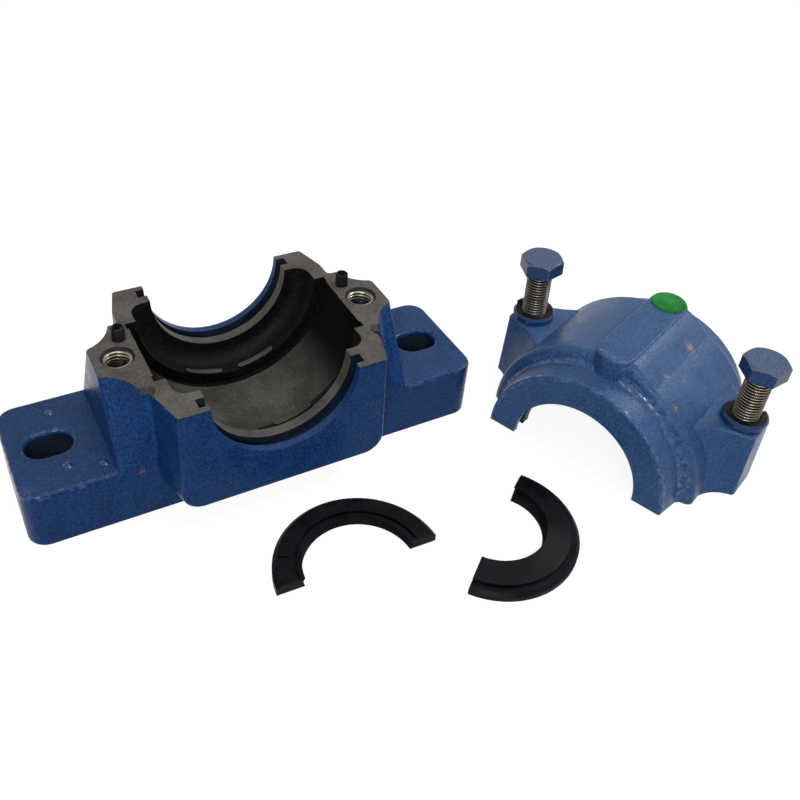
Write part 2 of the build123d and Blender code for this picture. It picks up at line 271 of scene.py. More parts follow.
# %% [markdown]
# Paint in a workshop is never one tone. A fine speckle breaks it up, and what faces up is
# paler, partly from settled dust and partly as painted top light. The castings and the bolt
# heads share both, so one group gives the grain of the speckle and the share of that pale
# tone, which grows from a given slope to nearly level.

# %% Speckle and dust group
dust_inputs = {"Dust From": 0.2, "Dust Share": 1.0}
speckle_dust_and_top_light, put, out = group("speckle_dust_and_top_light", dust_inputs, ["Grain", "Dust"])
seen = on_piece(speckle_dust_and_top_light)
grain = noise(speckle_dust_and_top_light, seen["Object"], 1000.0, roughness=0.8)
upward = parts_of(speckle_dust_and_top_light, seen["Normal"])["Z"]
dust_and_top_light = steps(speckle_dust_and_top_light, upward, put["Dust From"], 0.95, 0.0, put["Dust Share"])
put_out(speckle_dust_and_top_light, out, Grain=grain, Dust=dust_and_top_light)

# %% [markdown]
# Rust and bare chips show as small orange to brown specks, thick in a few places and absent
# elsewhere. The group takes one place and reach in metres and gives a mask that is broken up
# by noise: the nearer to the place, the less the noise has to stand out to make a speck.

# %% Speck group
speck_inputs = {"X": 0.0, "Y": 0.0, "Z": 0.0, "Reach": 0.01, "Amount": 0.55}
speck_edge = 14.0
specks, put, out = group("rust_specks", speck_inputs, ["Mask"])
place = on_piece(specks)["Object"]
centre = vector(specks, put["X"], put["Y"], put["Z"])
away = vector_maths(specks, "DISTANCE", place, centre)
near = maths(specks, "SUBTRACT", 1.0, maths(specks, "DIVIDE", away, put["Reach"]), clamp=True)
grain = noise(specks, place, 1200.0, detail=4.0, roughness=0.8)
limit = maths(specks, "SUBTRACT", 1.0, maths(specks, "MULTIPLY", near, put["Amount"]))
past = maths(specks, "SUBTRACT", grain, limit)
put_out(specks, out, Mask=maths(specks, "MULTIPLY", past, speck_edge, clamp=True))

# %% [markdown]
# Brushed paint pools in creases and along rims, and dries there with a wetter gloss. Both
# castings are round about the shaft, so a group gives each point's place along the shaft,
# counted from the middle, and its radius, and a material picks out the rims from these.

# %% Place along the shaft
shaft_inputs = {"Centre X": 0.0, "Centre Y": 0.0, "Axis X": 0.0, "Axis Y": 1.0}
along_shaft, put, out = group("along_shaft", shaft_inputs, ["Distance", "Radius"])
centre = vector(along_shaft, put["Centre X"], put["Centre Y"])
axis = vector(along_shaft, put["Axis X"], put["Axis Y"])
offset = vector_maths(along_shaft, "SUBTRACT", on_piece(along_shaft)["Object"], centre)
reach = vector_maths(along_shaft, "DOT_PRODUCT", offset, axis)
carried = add(along_shaft, "ShaderNodeVectorMath", {"operation": "SCALE"}, in_0=axis, Scale=reach)
radius = vector_maths(along_shaft, "DISTANCE", offset, carried.outputs[0])
put_out(along_shaft, out, Distance=maths(along_shaft, "ABSOLUTE", reach), Radius=radius)

# %% [markdown]
# The wet gloss is a clear coat over the paint, because a coat's strength can vary over the
# surface. It is never even, so the group breaks the mask that it is given into patches.

# %% Wet coat group
wet_coat, put, out = group("wet_coat", {"Where": 0.0}, ["Weight"])
patches = noise(wet_coat, on_piece(wet_coat)["Object"], 330.0)
strength = steps(wet_coat, patches, 0.46, 0.62, 0.0, 0.8)
put_out(wet_coat, out, Weight=maths(wet_coat, "MULTIPLY", put["Where"], strength))

# %% [markdown]
# ## Machinery paint
# The castings are dipped or brushed in a glossy blue. It has chipped at a few corners, down
# to bare or rusty iron. Each chip is a place, a reach and an amount for the speck group, and
# a tone. Places and reaches are in metres in the block's own frame.

# %% Chips in the paint
rust_brown = rgb(0.34, 0.16, 0.06)
rust_tan = rgb(0.36, 0.25, 0.13)
bare_spot = rgb(0.32, 0.32, 0.31)
chips = {
    "base_paint": [
        (0.1335, -0.0345, 0.0335, 0.012, 0.66, rust_brown),
        (-0.1330, -0.0300, 0.0345, 0.013, 0.56, bare_spot),
        (-0.0750, -0.0370, 0.0330, 0.016, 0.50, rust_brown),
        (-0.0640, -0.0480, 0.0820, 0.010, 0.56, bare_spot),
    ],
    "cap_paint": [
        (0.2442, -0.1039, 0.0660, 0.017, 0.58, rust_tan),
        (0.2134, -0.1187, 0.0650, 0.015, 0.55, rust_tan),
        (0.2072, -0.1363, 0.0568, 0.013, 0.55, rust_tan),
        (0.2310, -0.0850, 0.0715, 0.014, 0.53, rust_tan),
        (0.2260, -0.1250, 0.0630, 0.024, 0.53, bare_spot),
    ],
}
print("chips:", {name: len(places) for name, places in chips.items()})

# %% [markdown]
# The wet rims are masks. On the feet they follow the rounded upper edge, found by its
# height. On the cap they follow the creases behind its end rings and the rings' outer edges,
# found by their place along the shaft and their radius.

# %% Wet rims
feet_from = (85 * mm, 90 * mm)
foot_edge = (33.8 * mm, 36.85 * mm)
cap_crease = (38.6 * mm, 43.6 * mm)
ring_from = (55.2 * mm, 56.0 * mm)
ring_edge_from = (57.6 * mm, 58.2 * mm)


def foot_rims(tree):
    """The rounded upper edge of the feet, outside the pillars."""
    place = parts_of(tree, on_piece(tree)["Object"])
    on_foot = steps(tree, maths(tree, "ABSOLUTE", place["X"]), *feet_from)
    return maths(tree, "MULTIPLY", on_foot, band(tree, place["Z"], *foot_edge))


def cap_rims(tree):
    """The dome's ends with the creases behind the end rings, and the rings' outer edges."""
    centre = {"Centre_X": cap_centre.x, "Centre_Y": cap_centre.y}
    place = use(tree, along_shaft, **centre, Axis_X=cap_axis[0], Axis_Y=cap_axis[1])
    creases = band(tree, place["Distance"], *cap_crease)
    on_ring = steps(tree, place["Distance"], *ring_from)
    outer = steps(tree, place["Radius"], *ring_edge_from)
    return maths(tree, "MAXIMUM", creases, maths(tree, "MULTIPLY", on_ring, outer))


def all_over(tree):
    """Small things that the wet paint covers whole."""
    return 1.0


print("wet rims ready")

# %% [markdown]
# The paint is a dielectric: a deep base colour, a clear shine and the skin's bump. Thin
# paint on the crests of the pebbles looks paler, and the fine grain breaks that up. Both
# castings wear the same paint, but the base is given deeper, more saturated blues as painted
# shade and the cap paler ones as painted light, so the material takes its values and is
# made once for each, and once more for the small pips that the paint pools round.

# %% Paint
crest_share = 0.6
grain_share = 1.3
top_dust_and_light_tone = rgb(0.085, 0.110, 0.150)


def paint(name, deep, pale, gloss, depth, shine_level, dust_and_top_light, wet):
    """Blue paint. dust_and_top_light is the share of the pale tone on level surfaces, partly dust
    and partly painted top light, and wet gives the mask of the coat.
    """
    made, tree = material(name)
    surface = use(tree, skin, Pebble_Size=1.5, Broad_Size=14.0, Broad_Share=0.5)
    shop = use(tree, speckle_dust_and_top_light, Dust_From=0.2, Dust_Share=dust_and_top_light)
    crests = maths(tree, "MULTIPLY", surface["Height"], crest_share)
    thin = maths(tree, "ADD", crests, maths(tree, "MULTIPLY", shop["Grain"], grain_share))
    colour = blend_colour(tree, steps(tree, thin, 0.80, 1.40), deep, pale)
    # Paler tops: settled dust and painted top light.
    colour = blend_colour(tree, shop["Dust"], colour, top_dust_and_light_tone)
    for x, y, z, reach, amount, tone in chips.get(name, []):
        spots = use(tree, specks, X=x, Y=y, Z=z, Reach=reach, Amount=amount)["Mask"]
        colour = blend_colour(tree, spots, colour, tone)
    shine = steps(tree, surface["Mottle"], 0.35, 0.65, gloss, gloss + 0.14)
    normal = bump(tree, surface["Height"], depth)
    coat = use(tree, wet_coat, Where=wet(tree))["Weight"]
    shading = {"Base_Color": colour, "Roughness": shine, "Coat_Weight": coat, "Normal": normal}
    finish(tree, Specular_IOR_Level=shine_level, Coat_Roughness=0.07, **shading)
    return made


# One paint in two copies: painted shade on the base, painted light on the cap.
shaded_base_blues = (rgb(0.0004, 0.014, 0.085), rgb(0.012, 0.066, 0.205))
lit_cap_blues = (rgb(0.010, 0.050, 0.155), rgb(0.050, 0.116, 0.268))
base_paint = paint("base_paint", *shaded_base_blues, 0.18, 0.30 * mm, 0.07, 0.20, foot_rims)
cap_paint = paint("cap_paint", *lit_cap_blues, 0.26, 0.26 * mm, 0.14, 0.14, cap_rims)
pooled_paint = paint("pooled_paint", *shaded_base_blues, 0.12, 0.15 * mm, 0.3, 0.1, all_over)
print("paints:", base_paint.name, cap_paint.name, pooled_paint.name)

# %% [markdown]
# ## Bare machined iron
# The split faces are milled, and the seat and lands are bored on a lathe, which leaves
# fine rings about the shaft axis. A group gives the turned rings: noise that changes only
# along the shaft, so it runs round the bore as a lathe tool does.

# %% Turned rings group
ring_inputs = {"Axis X": 0.0, "Axis Y": 1.0, "Pitch": 0.35}
turned, put, out = group("turned_rings", ring_inputs, ["Height"])
axis = vector(turned, put["Axis X"], put["Axis Y"])
travel = vector_maths(turned, "DOT_PRODUCT", on_piece(turned)["Object"], axis)
count = maths(turned, "DIVIDE", maths(turned, "MULTIPLY", travel, 1000.0), put["Pitch"])
put_out(turned, out, Height=noise(turned, vector(turned, count, 0.0), 1.0))

# %% [markdown]
# Metal, rubber and plastic each vary between two tones, in a fine grain and in a broad
# cloud. One group gives both, and the share of the lighter tone, which they make together.

# %% Mottled grain group
mottle_inputs = {
    "Fine Scale": 700.0,
    "Fine Roughness": 0.6,
    "Cloud Scale": 70.0,
    "Cloud Detail": 3.0,
    "Cloud Roughness": 0.5,
    "Dark To": 0.70,
    "Light From": 1.30,
}
mottled, put, out = group("mottled_grain", mottle_inputs, ["Fine", "Cloud", "Share"])
place = on_piece(mottled)["Object"]
fine = noise(mottled, place, put["Fine Scale"], 3.0, put["Fine Roughness"])
cloud = noise(mottled, place, put["Cloud Scale"], put["Cloud Detail"], put["Cloud Roughness"])
both = maths(mottled, "ADD", fine, cloud)
share = steps(mottled, both, put["Dark To"], put["Light From"])
put_out(mottled, out, Fine=fine, Cloud=cloud, Share=share)

# %% [markdown]
# Grey iron holds graphite, so it looks brown-grey and mottled rather than bright, and it is
# made as a dull dielectric. The seat's upper walls are darkened with height as painted shade.
# The narrow seal grooves, the slots' lower walls and the walls of the bolt holes are nearly
# black, with a touch of blue in the grooves and slots: this too is painted shade.

# %% Machined iron
iron_mottle = {
    "Fine_Scale": 800.0,
    "Fine_Roughness": 0.75,
    "Cloud_Scale": 42.0,
    "Cloud_Detail": 4.0,
    "Cloud_Roughness": 0.55,
    "Dark_To": 0.72,
    "Light_From": 1.28,
}
iron_bump = 0.03 * mm
shade_unevenness = 6 * mm
painted_shade_tone = rgb(0.0008, 0.0007, 0.0007)


def bare_iron(name, dark, light, gloss, shine_level=0.12, axis=None, shaded_above=None):
    """Iron between two tones. axis gives it turned rings, and shaded_above the two heights over
    which painted shade darkens it.
    """
    made, tree = material(name)
    grain = use(tree, mottled, **iron_mottle)
    colour = blend_colour(tree, grain["Share"], dark, light)
    # Painted shade: the colour darkens with height up the seat's walls.
    if shaded_above:
        level = parts_of(tree, on_piece(tree)["Object"])["Z"]
        uneven = maths(tree, "ADD", level, maths(tree, "MULTIPLY", grain["Cloud"], shade_unevenness))
        colour = blend_colour(tree, steps(tree, uneven, *shaded_above), colour, painted_shade_tone)
    height = grain["Fine"]
    if axis:
        rings = use(tree, turned, Axis_X=axis[0], Axis_Y=axis[1])["Height"]
        height = maths(tree, "ADD", rings, maths(tree, "MULTIPLY", grain["Fine"], 0.5))
    shine = steps(tree, grain["Cloud"], 0.3, 0.7, gloss, gloss + 0.15)
    normal = bump(tree, height, iron_bump)
    shading = {"Base_Color": colour, "Roughness": shine, "Normal": normal}
    finish(tree, Specular_IOR_Level=shine_level, **shading)
    return made


base_axis = (0.0, 1.0)
shade_line = (27 * mm, 58 * mm)
split_tones = (rgb(0.048, 0.042, 0.037), rgb(0.125, 0.112, 0.100))
seat_tones = (rgb(0.046, 0.044, 0.040), rgb(0.120, 0.114, 0.104))
shade_tones = (rgb(0.0035, 0.006, 0.015), rgb(0.010, 0.017, 0.036))
hole_shade_tones = (rgb(0.002, 0.002, 0.002), rgb(0.020, 0.018, 0.017))
split_iron = bare_iron("split_iron", *split_tones, 0.5)
land_iron = bare_iron("land_iron", *seat_tones, 0.48, axis=base_axis)
seat_iron = bare_iron("seat_iron", *seat_tones, 0.42, 0.05, axis=base_axis, shaded_above=shade_line)
cap_seat_iron = bare_iron("cap_seat_iron", *seat_tones, 0.48, axis=cap_axis)
# The two near-black finishes below are painted shade in the grooves, the slots and the bolt holes.
groove_shade = bare_iron("groove_shade", *shade_tones, 0.5)
bore_wall = bare_iron("bore_wall", *hole_shade_tones, 0.4)
print("bare iron finishes:", split_iron.name, seat_iron.name, groove_shade.name)

# %% [markdown]
# The end chambers are left as cast and are nearly black, rough and grainy, with a few brown
# points where the sand has bitten in.


# %% Raw chambers
def raw_chamber():
    made, tree = material("dark_chamber")
    surface = use(tree, skin, Pebble_Size=2.0, Broad_Size=7.0)
    grit = noise(tree, on_piece(tree)["Object"], 620.0, roughness=0.8)
    spots = steps(tree, grit, 0.63, 0.74)
    colour = blend_colour(tree, spots, rgb(0.0035, 0.0030, 0.0030), rgb(0.070, 0.052, 0.045))
    normal = bump(tree, surface["Height"], 0.6 * mm)
    finish(tree, Base_Color=colour, Roughness=0.55, Specular_IOR_Level=0.1, Normal=normal)
    return made


dark_chamber = raw_chamber()
print("chamber:", dark_chamber.name)

# %% [markdown]
# ## Giving each face its finish
# A casting is one mesh, and its machined and painted surfaces meet at crisp edges that the
# mesh already has. So each face gets a material slot by where it lies. Painting masks in
# the shader would blur those edges, and cutting the casting up would be untrue. The sizes
# here say how far each surface reaches, a little past its own edge, and `touch` is how near
# counts as the same place.

# %% How far each surface reaches
touch = 0.15 * mm
thread_outer = 8.0 * mm
hole_reach = thread_outer + 1.5 * mm
hollow_reach = seat_radius + 1.2 * mm
hollow_end = groove_end + 4 * mm
pad_radius = chamber_radius - 1.5 * mm
pad_end = relief_end + 4.5 * mm
groove_reach = land_radius + 5.2 * mm
scoop_place = (66.6 * mm, -32.6 * mm)
scoop_reach = 4.6 * mm
scoop_depth = 4 * mm
slot_reach = 12.9 * mm
slot_half_width = 9.2 * mm
slot_shade_top = 29.0 * mm
print("the hollow reaches, in mm:", round(hollow_reach / mm, 1))


# %% [markdown]
# A face's place is turned into the casting's own frame first, so one set of questions
# serves the base and the cap. They go from the split face inwards along the stepped bore,
# and then to the small things outside it: pry scoops in the base's split edge, which lie
# bare, and the lower part of the foot slots. What is left is painted.

# %% Faces by place
def shaft_frame(point, centre, angle, height):
    """A point's distance from the shaft axis, and the point in the casting's own frame."""
    own = Matrix.Rotation(-angle, 3, "Z") @ (point - centre)
    return math.hypot(own.x, own.z - height), own


def inside_hollow(radius, along):
    """Which surface of the stepped bore this is, or None outside it."""
    if radius > seat_radius - touch and along < seat_half + touch:
        return "seat"
    if along < chamber_end + touch and radius > land_radius + touch:
        on_pad = abs(radius - pad_radius) < touch and along < pad_end
        return "seat" if on_pad else "chamber"
    if radius < land_radius + touch and along < inner_land_end:
        return "land"
    if radius < groove_reach and inner_land_end - touch < along < groove_end + touch:
        return "groove"
    return None


def surface_of(point, normal, centre, angle, height):
    """Which surface of a casting this point lies on."""
    radius, own = shaft_frame(point, centre, angle, height)
    along = abs(own.y)
    level = abs(normal.z) > 0.9
    if level and abs(own.z - height) < touch:
        return "split"
    if not level and math.hypot(abs(own.x) - bolt_offset, own.y) < hole_reach:
        return "bore"
    if radius < hollow_reach and along < hollow_end:
        found = inside_hollow(radius, along)
        if found:
            return found
    if level and abs(point.z) < touch:
        return "split"
    from_scoop = math.hypot(abs(point.x) - scoop_place[0], point.y - scoop_place[1])
    at_base_top = height == split_height and point.z > split_height - scoop_depth
    if at_base_top and from_scoop < scoop_reach:
        return "split"
    # The slots' lower walls take the near-black groove finish: painted shade.
    in_slot = abs(abs(point.x) - slot_offset) < slot_reach and abs(point.y) < slot_half_width
    if in_slot and point.z < slot_shade_top and abs(normal.z) < 0.3:
        return "groove"
    return "painted"


print("surface rules ready")

# %% [markdown]
# The two castings share all finishes but the paint and the turned surfaces, whose rings run
# about each casting's own shaft axis.


# %% Dress the castings
def dress_casting(piece, centre, angle, height, finishes):
    names = list(finishes)
    piece.data.materials.clear()
    for title in names:
        piece.data.materials.append(finishes[title])
    counts = dict.fromkeys(names, 0)
    for face in piece.data.polygons:
        title = surface_of(face.center, face.normal, centre, angle, height)
        face.material_index = names.index(title)
        counts[title] += 1
    print(piece.name, counts)


base_finishes = {
    "painted": base_paint,
    "split": split_iron,
    "seat": seat_iron,
    "land": land_iron,
    "chamber": dark_chamber,
    "groove": groove_shade,
    "bore": bore_wall,
}
own_finishes = {"painted": cap_paint, "seat": cap_seat_iron, "land": cap_seat_iron}
cap_finishes = {**base_finishes, **own_finishes}
dress_casting(nodes["base_housing"], Vector((0, 0, 0)), 0.0, split_height, base_finishes)
dress_casting(nodes["cap_housing"], cap_centre, cap_turn, 0.0, cap_finishes)

# %% [markdown]
# ## Screw threads
# A metric thread is a ridge with flanks at 60 degrees, wound round a cylinder. It could be a
# bump, but its outline shows against the light at the bolt's edge, so it is modelled: a grid
# of rings whose radius follows the ridge, which rises by one pitch in a turn. The same
# function makes the thread on a bolt and, turned inside out, the one in a tapped hole.

# %% Thread maker
thread_inner = 6.8 * mm
thread_crest = thread_outer - 0.08 * mm
thread_pitch = 2.0 * mm
root_share = 0.2
flank_share = 0.62
turn_steps = 64
pitch_steps = 10


def ridge(turns):
    """Height of the ridge from 0 at its root to 1 at its crest, over one turn."""
    away = abs((turns % 1.0) - 0.5) * 2
    return min(1.0, max(0.0, (away - root_share) / flank_share))


def thread_grid(mesh, length, start=0.0, taper=lambda height, radius: radius):
    """Rings of vertices from start to start + length along Z, as a list of rings."""
    rings = []
    rows = round(length / thread_pitch * pitch_steps)
    for row in range(rows + 1):
        height = start + length * row / rows
        ring = []
        for step in range(turn_steps):
            angle = 2 * math.pi * step / turn_steps
            share = ridge(height / thread_pitch - step / turn_steps)
            radius = taper(height, thread_inner + (thread_crest - thread_inner) * share)
            spot = (radius * math.cos(angle), radius * math.sin(angle), height)
            ring.append(mesh.verts.new(spot))
        rings.append(ring)
    return rings


print("thread steps per turn:", turn_steps)

# %% [markdown]
# Pieces made in mesh code are rings of points that are bridged with faces, and some
# materials read a value that is stored at each point, so a few helpers serve them all.


# %% Mesh helpers
def flat_ring(mesh, radius, height, count):
    """A round ring of vertices at one height."""
    ring = []
    for step in range(count):
        angle = 2 * math.pi * step / count
        ring.append(mesh.verts.new((radius * math.cos(angle), radius * math.sin(angle), height)))
    return ring


def bridge(mesh, lower, upper, slot=0, smooth=True, inward=False):
    """Faces between two rings of vertices."""
    count = len(lower)
    for step in range(count):
        ahead = (step + 1) % count
        corners = [lower[step], lower[ahead], upper[ahead], upper[step]]
        face = mesh.faces.new(corners[::-1] if inward else corners)
        face.material_index = slot
        face.smooth = smooth


def to_object(mesh, name, *finishes):
    """An object of this mesh in the scene, with its material slots."""
    data = bpy.data.meshes.new(name)
    mesh.to_mesh(data)
    mesh.free()
    for one in finishes:
        data.materials.append(one)
    made = bpy.data.objects.new(name, data)
    bpy.context.scene.collection.objects.link(made)
    return made


def paint_values(mesh_data, name, value_of):
    """A value for each vertex, which a material reads by its name."""
    values = mesh_data.attributes.new(name, "FLOAT", "POINT")
    values.data.foreach_set("value", [value_of(point.co) for point in mesh_data.vertices])


print("mesh helpers ready")

# %% [markdown]
# ## Bolt finishes
# The heads were painted with the housing. Their tops are greyer than their deep blue sides,
# partly from handling and dust and partly as painted top light, and the paint has worn
# through to rust along the edges, which the stored value "rim" marks. Where grain and rim
# together pass a limit, the paint is gone.

# %% Painted heads
wear_limit = 1.32
wear_edge = 10.0


def painted_head():
    made, tree = material("bolt_head_paint")
    surface = use(tree, skin, Pebble_Size=1.3)
    shop = use(tree, speckle_dust_and_top_light, Dust_From=0.3, Dust_Share=1.0)
    speckle = steps(tree, shop["Grain"], 0.35, 0.65)
    fresh = blend_colour(tree, speckle, rgb(0.006, 0.034, 0.125), rgb(0.026, 0.075, 0.195))
    handled_and_top_lit = blend_colour(tree, speckle, rgb(0.032, 0.062, 0.135), rgb(0.082, 0.125, 0.200))
    # Greyer tops: handling and dust, and painted top light.
    colour = blend_colour(tree, shop["Dust"], fresh, handled_and_top_lit)
    rim = add(tree, "ShaderNodeAttribute", {"attribute_name": "rim"}).outputs["Fac"]
    grain = noise(tree, on_piece(tree)["Object"], 380.0, detail=5.0, roughness=0.8)
    past = maths(tree, "SUBTRACT", maths(tree, "ADD", grain, rim), wear_limit)
    worn = maths(tree, "MULTIPLY", past, wear_edge, clamp=True)
    rust = blend_colour(tree, grain, rgb(0.10, 0.035, 0.015), rgb(0.50, 0.22, 0.09))
    colour = blend_colour(tree, worn, colour, rust)
    shine = steps(tree, worn, 0.0, 1.0, 0.22, 0.75)
    normal = bump(tree, surface["Height"], 0.15 * mm)
    finish(tree, Base_Color=colour, Roughness=shine, Specular_IOR_Level=0.16, Normal=normal)
    return made


head_paint = painted_head()
print("head finish:", head_paint.name)

# %% [markdown]
# The threads are bare steel with dark grease in their roots, which the stored value "root"
# marks. In the tapped holes that value also carries painted shade, which deepens with depth.
# A group turns it into an uneven film of grime and shade.

# %% Thread grease group
grease_and_shade, put, out = group("thread_grease_and_shade", {"Root": 0.0}, ["Cloud", "Grime"])
cloud = noise(grease_and_shade, on_piece(grease_and_shade)["Object"], 190.0, detail=4.0, roughness=0.6)
uneven = maths(grease_and_shade, "ADD", put["Root"], maths(grease_and_shade, "MULTIPLY", cloud, 0.6))
put_out(grease_and_shade, out, Cloud=cloud, Grime=steps(grease_and_shade, uneven, 0.30, 0.72))

# %% [markdown]
# Grease is a dielectric and steel a metal, so the same mask drives the colour and Metallic.
# The left bolt is darker than the right.


# %% Oiled threads
def oiled_thread(name, bare_dark, bare_light, grease):
    """Thread whose crests are rubbed bright and whose roots hold dark grease."""
    made, tree = material(name)
    root = add(tree, "ShaderNodeAttribute", {"attribute_name": "root"}).outputs["Fac"]
    film = use(tree, grease_and_shade, Root=root)
    bare = blend_colour(tree, film["Cloud"], bare_dark, bare_light)
    colour = blend_colour(tree, film["Grime"], bare, grease)
    metal = steps(tree, film["Grime"], 0.2, 0.9, 0.85, 0.0)
    shine = steps(tree, film["Cloud"], 0.3, 0.7, 0.24, 0.42)
    normal = bump(tree, film["Cloud"], 0.03 * mm)
    shading = {"Base_Color": colour, "Roughness": shine, "Metallic": metal, "Normal": normal}
    finish(tree, Specular_IOR_Level=0.3, **shading)
    return made


bolt_grease = rgb(0.006, 0.004, 0.003)
left_steel = (rgb(0.10, 0.085, 0.065), rgb(0.36, 0.33, 0.28))
right_steel = (rgb(0.19, 0.155, 0.10), rgb(0.46, 0.41, 0.31))
thread_finishes = {
    "left": oiled_thread("oiled_thread_left", *left_steel, bolt_grease),
    "right": oiled_thread("oiled_thread_right", *right_steel, bolt_grease),
}
print("thread finishes:", [one.name for one in thread_finishes.values()])

# %% [markdown]
# ## Bolt heads
# A hexagon head is forged, then chamfered on a lathe, which leaves curved arcs on its six
# flats. Each column of the head stands at one angle, so its reach follows the hexagon and
# its top follows the chamfer's cone: that gives the arcs without any boolean cut. Below the
# flats two rings are drawn in by a set number of millimetres, and the top is dished a little.

# %% Head maker
head_flats = 24.0 * mm
head_height = 10.0 * mm
head_steps = 96
flat = head_flats / 2
chamfer = 0.965 * flat
chamfer_slope = math.tan(math.radians(30))
corner_reach = 1.145 * flat
flats_rises = (0.10, 0.35, 0.65, 0.91, 1.0)
head_levels = [(-0.9, 0.0), (-0.25, 0.06)] + [(0.0, rise) for rise in flats_rises]
top_rings = [(chamfer, 0.0), (chamfer - 0.6 * mm, 0.0), (0.55 * flat, 0.12 * mm)]


def head_rings(mesh, corner_angle, base):
    """Rings of a chamfered hexagon head above the height base."""
    sixth = math.pi / 3
    rings = []
    for inset, rise in head_levels:
        ring = []
        for step in range(head_steps):
            angle = 2 * math.pi * step / head_steps
            from_flat = (angle - corner_angle) % sixth - sixth / 2
            reach = min(flat / math.cos(from_flat), corner_reach)
            top = head_height - max(0.0, reach - chamfer) * chamfer_slope
            reach += inset * mm
            spot = (reach * math.cos(angle), reach * math.sin(angle), base + top * rise)
            ring.append(mesh.verts.new(spot))
        rings.append(ring)
    for radius, drop in top_rings:
        rings.append(flat_ring(mesh, radius, base + head_height - drop, head_steps))
    return rings


print("head width across flats in mm:", round(head_flats / mm, 1))

# %% [markdown]
# A head wears most along the chamfer's arcs, then down its six corners. A thread holds
# grease by how deep below its crest a point lies. Both are measured from the shape itself.

# %% Wear and depth by place
bolt_length = 80.0 * mm


def rim_wear(point):
    """How exposed a point of the screw is to wear, from 0 to 1."""
    if point.z < bolt_length - touch:
        return 0.0
    out = math.hypot(point.x, point.y)
    top = head_height - (out - chamfer) * chamfer_slope
    if out > 0.99 * flat and point.z - bolt_length > 0.97 * top:
        return 1.0
    return 0.92 if out > corner_reach - 0.06 * mm else 0.2


def root_depth(point):
    """0 at the thread's crest and 1 at its root."""
    radius = math.hypot(point.x, point.y)
    return min(1.0, max(0.0, (thread_outer - radius) / (thread_outer - thread_inner)))


print("wear and depth ready")

# %% [markdown]
# The whole screw is one mesh: the thread's rings with a chamfered tip, and the head's rings
# on top.

# %% Screw maker
tip_chamfer = 1.2 * mm


def tip(height, radius):
    """Narrows the thread at the screw's end."""
    return min(radius, thread_outer - tip_chamfer + height) if height < tip_chamfer else radius


def hexagon_screw(name, corner_angle, thread_finish):
    """A hexagon screw along Z with its tip at the origin."""
    mesh = bmesh.new()
    rings = thread_grid(mesh, bolt_length, taper=tip)
    for lower, upper in zip(rings, rings[1:]):
        bridge(mesh, lower, upper, slot=0)
    mesh.faces.new(rings[0][::-1]).material_index = 0
    head = head_rings(mesh, corner_angle, bolt_length)
    for lower, upper in zip(head, head[1:]):
        bridge(mesh, lower, upper, slot=1, smooth=False)
    mesh.faces.new(head[0][::-1]).material_index = 1
    mesh.faces.new(head[-1]).material_index = 1
    screw = to_object(mesh, name, thread_finish, head_paint)
    paint_values(screw.data, "rim", rim_wear)
    paint_values(screw.data, "root", root_depth)
    return screw


print("screw length in mm:", round(bolt_length / mm, 1))

# %% [markdown]
# ## Standing each bolt where the frame has it
# The frame's joint gives the direction in which a bolt slides, and its solid gives the
# place: the middle of its head across that direction, and its lowest point along it. The
# corner of the hexagon that stands furthest out gives how far the head is turned.


# %% Bolts in place
def bolt_pose(node, direction):
    """Matrix that stands a bolt along direction as this node's solid stands, and its turn."""
    axis = Vector(direction).normalized()
    across = axis.orthogonal().normalized()
    other = axis.cross(across)
    points = [vertex.co for vertex in nodes[node].data.vertices]
    spans = [[point.dot(line) for point in points] for line in (across, other, axis)]
    middle = [(min(span) + max(span)) / 2 for span in spans[:2]]
    turn = Matrix((across, other, axis)).transposed()
    tip = turn @ Vector((middle[0], middle[1], min(spans[2])))
    far = max(points, key=lambda point: (turn.transposed() @ (point - tip)).xy.length)
    corner = (turn.transposed() @ (far - tip)).xy
    return Matrix.Translation(tip) @ turn.to_4x4(), math.atan2(corner.y, corner.x)


bolt_joints = {joint["child"]: joint for joint in frame["joints"]}
for side in ("left", "right"):
    pose, corner = bolt_pose("cap_bolt_" + side, bolt_joints["bolt_" + side]["axis"])
    screw = hexagon_screw("hexagon_screw_" + side, corner, thread_finishes[side])
    screw.matrix_world = pose
    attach(screw, "bolt_" + side)
    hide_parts("cap_bolt_" + side)
    print(screw.name, "tip in mm:", [round(c / mm, 1) for c in pose.translation])

# %% [markdown]
# ## Threads in the base
# The frame's holes are plain and as wide as a thread's outer size, so the ridge sits inside
# them as a thin sleeve with a wall behind it. Its first turns are clean and yellowish with
# grease in the groove, and below them painted shade darkens the thread more with each
# millimetre of depth.

# %% Tapped holes
hole_steel = (rgb(0.14, 0.12, 0.07), rgb(0.48, 0.44, 0.32))
tapped_finish = oiled_thread("tapped_thread", *hole_steel, rgb(0.002, 0.002, 0.002))
sleeve_depth = 36.0 * mm
sleeve_mouth = 1.3 * mm
sleeve_wall = 1.002 * thread_outer
depth_shade_from = 3.6 * mm
depth_shade_per_mm = 0.13


def hole_grease_and_depth_shade(point):
    """Grease in the groove, and painted shade that darkens the thread below its first turns."""
    # Painted shade: the value grows with depth below the first turns.
    below = max(0.0, -point.z - depth_shade_from) / mm
    return 0.7 * (1.0 - root_depth(point)) - 0.2 + below * depth_shade_per_mm


